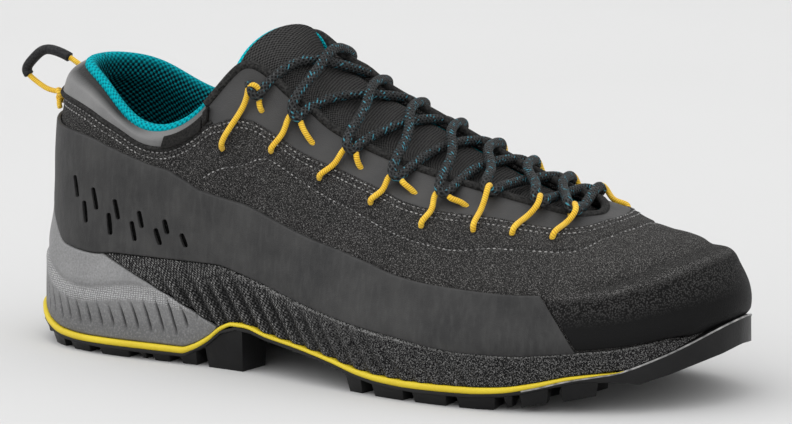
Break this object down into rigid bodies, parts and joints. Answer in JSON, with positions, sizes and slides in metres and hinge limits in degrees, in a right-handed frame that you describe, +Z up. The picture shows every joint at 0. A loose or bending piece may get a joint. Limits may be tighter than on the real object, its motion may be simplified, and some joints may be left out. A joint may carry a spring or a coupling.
{
  "type": "approach shoe",
  "caption": "Low approach shoe for the right foot: lugged rubber outsole, foam midsole, suede upper, knit collar and tongue, cord loops that take the lace.",
  "frame": {"origin": "on the ground at the middle of the flat lug under the heel", "axes": "+X from heel to toe, +Y to the inner side of the foot, +Z up"},
  "size_m": [0.3062, 0.1059, 0.1292],
  "materials": {
    "outsole_rubber": "matte black rubber",
    "strip_foam": "matte yellow foam",
    "heel_foam": "matte grey foam",
    "frame_foam": "textured black foam",
    "upper_suede": "charcoal suede",
    "insole_fabric": "dark fabric",
    "tongue_knit": "teal and black knit",
    "cap_suede": "pebbled black suede",
    "band_synthetic": "smooth matte black synthetic",
    "panel_leather": "grey semi-gloss leather",
    "eyestay_suede": "charcoal suede",
    "label_cloth": "black woven tape",
    "sleeve_cloth": "dark woven sleeve",
    "lace_braid": "black and grey braid with teal flecks",
    "loop_cord": "yellow cord"
  },
  "bodies": {
    "root": {"outsole": "outsole_rubber", "sole_strip": "strip_foam", "midsole_heel": "heel_foam", "midsole_frame": "frame_foam", "upper": "upper_suede", "insole": "insole_fabric", "tongue": "tongue_knit", "toe_cap": "cap_suede", "side_wrap": "band_synthetic", "collar_panel": "panel_leather", "eyestay": "eyestay_suede", "collar_lining": "tongue_knit", "side_label": "label_cloth", "lace": "lace_braid", "pull_cord": "loop_cord", "pull_sleeve": "sleeve_cloth", "lace_loop_outer_1": "loop_cord", "lace_loop_outer_2": "loop_cord", "lace_loop_outer_3": "loop_cord", "lace_loop_outer_4": "loop_cord", "lace_loop_outer_5": "loop_cord", "lace_loop_outer_6": "loop_cord", "lace_loop_outer_7": "loop_cord", "lace_loop_outer_8": "loop_cord", "lace_loop_inner_1": "loop_cord", "lace_loop_inner_2": "loop_cord", "lace_loop_inner_3": "loop_cord", "lace_loop_inner_4": "loop_cord", "lace_loop_inner_5": "loop_cord", "lace_loop_inner_6": "loop_cord", "lace_loop_inner_7": "loop_cord", "lace_loop_inner_8": "loop_cord"}
  },
  "joints": []
}
